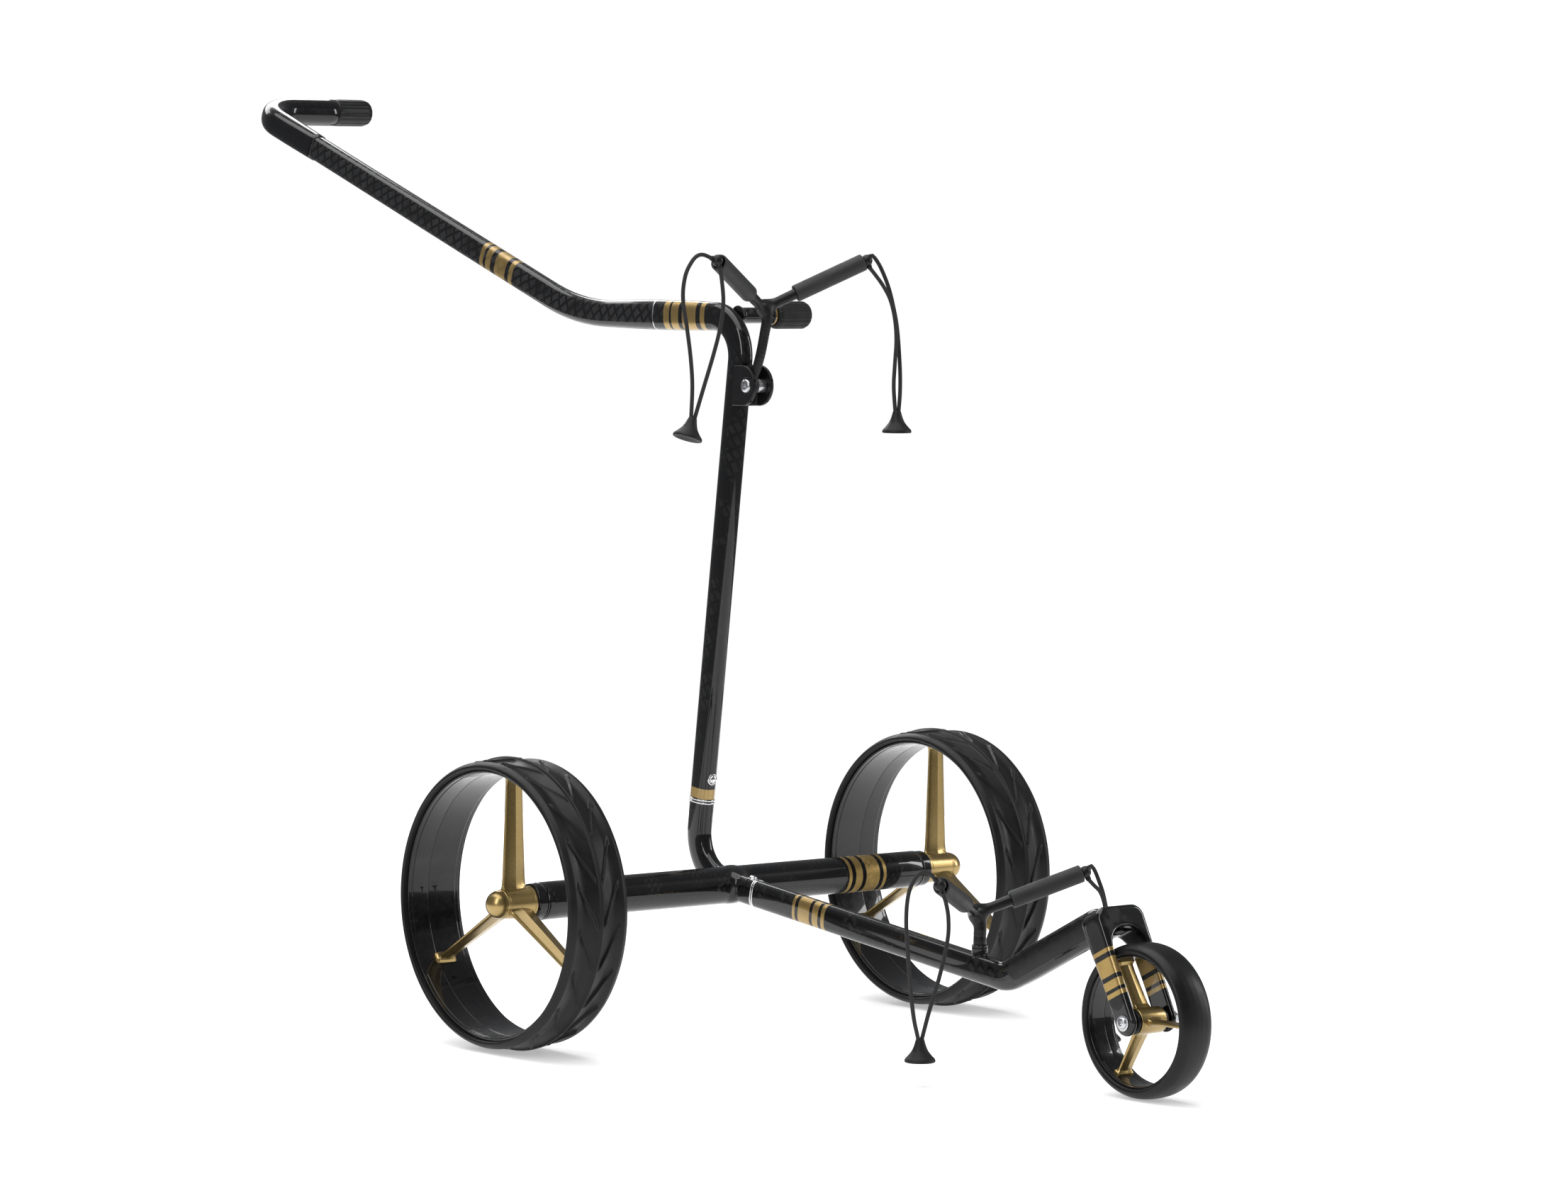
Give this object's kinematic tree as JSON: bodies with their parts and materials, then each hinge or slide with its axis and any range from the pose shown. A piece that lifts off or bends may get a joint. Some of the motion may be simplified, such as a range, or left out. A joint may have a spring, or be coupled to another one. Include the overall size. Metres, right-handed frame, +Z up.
{
  "type": "golf bag on push cart",
  "caption": "Three-wheel golf push trolley with a take-apart carbon frame, cranked handle, Y-shaped bag rests and elastic bag loops.",
  "frame": {"origin": "centre of the trolley's bounding box on the floor, midway between the rear wheels", "axes": "+Z up, +X along the rear axle towards the right wheel, -Y towards the front wheel, +Y towards the handle"},
  "size_m": [0.6254, 1.5373, 0.9473],
  "materials": {
    "gloss_carbon": "gloss",
    "gloss_black": "gloss",
    "black_anodised_metal": "satin",
    "satin_black_plastic": "satin",
    "grey_black_rubber": "matte",
    "tyre_rubber": "matte",
    "braided_elastic": "matte",
    "gold_paint": "satin",
    "chrome": "polished",
    "stainless_steel": "brushed"
  },
  "bodies": {
    "chassis": {"axle_frame": "gloss_carbon", "left_axle_bush": "stainless_steel", "right_axle_bush": "stainless_steel", "mast_stub_ring": "chrome", "front_socket_ring": "chrome"},
    "front_button": {"front_release_button": "chrome"},
    "left_quick_axle": {"left_axle_pin": "stainless_steel", "left_axle_collar": "gloss_black"},
    "right_quick_axle": {"right_axle_pin": "stainless_steel", "right_axle_collar": "gloss_black"},
    "left_wheel": {"left_wheel_tyre": "tyre_rubber", "left_wheel_drum": "gloss_black", "left_wheel_spider": "gold_paint", "left_wheel_bearing": "stainless_steel"},
    "right_wheel": {"right_wheel_tyre": "tyre_rubber", "right_wheel_drum": "gloss_black", "right_wheel_spider": "gold_paint", "right_wheel_bearing": "stainless_steel"},
    "mast": {"mast_tube": "gloss_carbon", "mast_end_ring": "chrome", "bracket_clevis": "black_anodised_metal", "clevis_bolt": "stainless_steel", "clevis_nut": "stainless_steel", "clevis_spacer_sleeve": "stainless_steel", "accessory_arm": "gloss_carbon"},
    "mast_button": {"mast_release_button": "chrome"},
    "accessory_knob": {"accessory_knob": "grey_black_rubber"},
    "upper_bracket": {"upper_yoke": "satin_black_plastic", "upper_left_sleeve": "grey_black_rubber", "upper_right_sleeve": "grey_black_rubber", "upper_left_cord_outer": "braided_elastic", "upper_left_cord_inner": "braided_elastic", "upper_right_cord_outer": "braided_elastic", "upper_right_cord_inner": "braided_elastic", "upper_left_cord_pull": "grey_black_rubber", "upper_right_cord_pull": "grey_black_rubber"},
    "handle": {"handle_tube": "gloss_carbon", "grip_elbow": "gloss_carbon", "grip_end_knob": "grey_black_rubber"},
    "front_frame": {"front_beam": "gloss_carbon", "front_tube_ring": "chrome", "front_fork": "gloss_carbon", "front_axle_bolt": "stainless_steel", "front_axle_nut": "stainless_steel", "front_wheel_left_spacer": "black_anodised_metal", "front_wheel_right_spacer": "black_anodised_metal", "lower_yoke_socket": "satin_black_plastic", "lower_yoke": "satin_black_plastic", "lower_left_sleeve": "grey_black_rubber", "lower_right_sleeve": "grey_black_rubber", "lower_left_cord_outer": "braided_elastic", "lower_left_cord_inner": "braided_elastic", "lower_right_cord_outer": "braided_elastic", "lower_right_cord_inner": "braided_elastic", "lower_left_cord_pull": "grey_black_rubber", "lower_right_cord_pull": "grey_black_rubber"},
    "front_wheel": {"front_wheel_tyre": "tyre_rubber", "front_wheel_drum": "gloss_black", "front_wheel_spider": "gold_paint"}
  },
  "joints": [
    {"name": "left_axle_release", "type": "slide", "parent": "chassis", "child": "left_quick_axle", "axis": [-1, 0, 0], "range_m": [0, 0.09]},
    {"name": "left_wheel_spin", "type": "hinge", "parent": "left_quick_axle", "child": "left_wheel", "pos_m": [-0.2767, -0.0807, 0.145], "axis": [1, 0, 0], "continuous": true},
    {"name": "right_axle_release", "type": "slide", "parent": "chassis", "child": "right_quick_axle", "axis": [1, 0, 0], "range_m": [0, 0.09]},
    {"name": "right_wheel_spin", "type": "hinge", "parent": "right_quick_axle", "child": "right_wheel", "pos_m": [0.2767, -0.0807, 0.145], "axis": [1, 0, 0], "continuous": true},
    {"name": "mast_pull_off", "type": "slide", "parent": "chassis", "child": "mast", "axis": [0, -0.1253, 0.9921], "range_m": [0, 0.07]},
    {"name": "mast_button_press", "type": "slide", "parent": "mast", "child": "mast_button", "axis": [0, 0.9921, 0.1253], "range_m": [0, 0.003], "stiffness_N_per_m": 1200},
    {"name": "upper_bracket_fold", "type": "hinge", "parent": "mast", "child": "upper_bracket", "pos_m": [0, -0.1169, 0.651], "axis": [1, 0, 0], "range_deg": [0, 150]},
    {"name": "handle_pull_off", "type": "slide", "parent": "mast", "child": "handle", "axis": [0, 1, 0], "range_m": [0, 0.045]},
    {"name": "accessory_knob_turn", "type": "hinge", "parent": "mast", "child": "accessory_knob", "pos_m": [0.0559, -0.0747, 0.7206], "axis": [1, 0, 0], "range_deg": [0, 270]},
    {"name": "front_frame_pull_off", "type": "slide", "parent": "chassis", "child": "front_frame", "axis": [0, -0.9927, -0.1206], "range_m": [0, 0.026]},
    {"name": "front_button_press", "type": "slide", "parent": "chassis", "child": "front_button", "axis": [0, 0.1206, -0.9927], "range_m": [0, 0.003], "stiffness_N_per_m": 1200},
    {"name": "front_wheel_spin", "type": "hinge", "parent": "front_frame", "child": "front_wheel", "pos_m": [0, -0.695, 0.0734], "axis": [1, 0, 0], "continuous": true}
  ]
}
